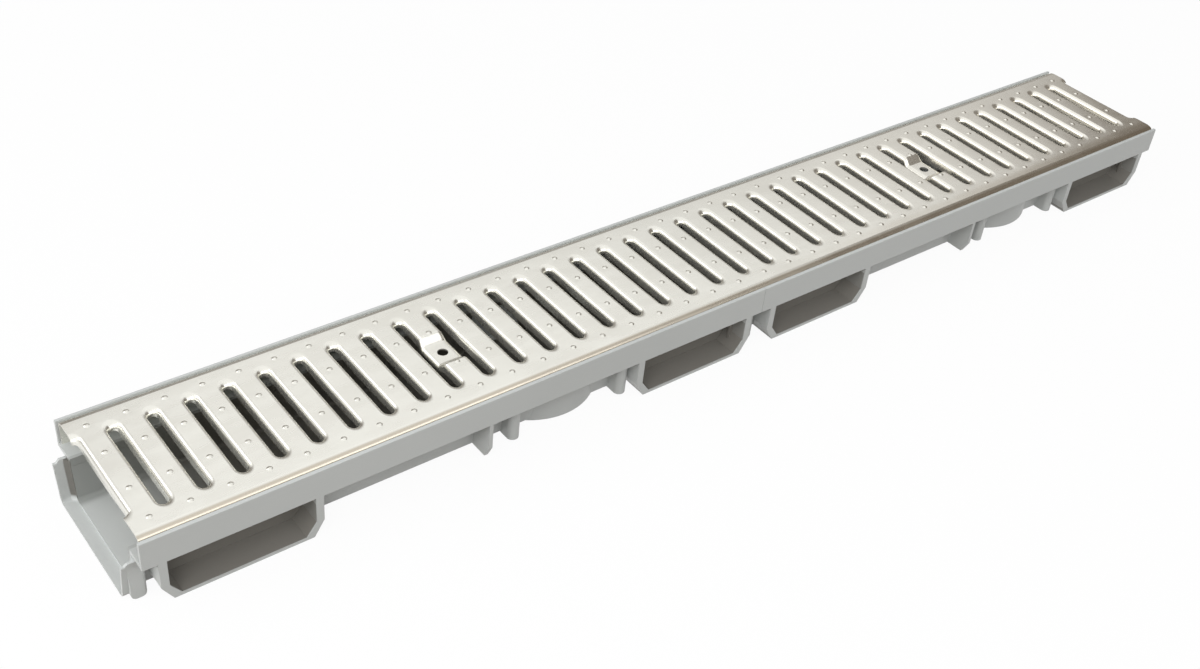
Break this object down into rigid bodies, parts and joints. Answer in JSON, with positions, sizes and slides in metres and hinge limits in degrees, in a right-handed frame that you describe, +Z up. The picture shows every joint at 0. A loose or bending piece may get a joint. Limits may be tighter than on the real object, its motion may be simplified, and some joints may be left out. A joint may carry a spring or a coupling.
{
  "type": "channel drain",
  "caption": "Low straight channel drain of moulded U sections laid end to end, covered by a pressed sheet grate with long cross slots that lets surface water in.",
  "frame": {"origin": "centre of the whole drain, in the plane of the underside that it stands on", "axes": "+X along the drain from its bell end to its plain end, +Z up, +Y across it to the far side"},
  "size_m": [1.0084, 0.13, 0.0576],
  "materials": {
    "grey_plastic": "satin, as moulded",
    "galvanised_sheet": "galvanised, dull, slightly warm"
  },
  "bodies": {
    "root": {"channel_section_left": "grey_plastic", "channel_section_right": "grey_plastic", "grate": "galvanised_sheet"}
  },
  "joints": []
}
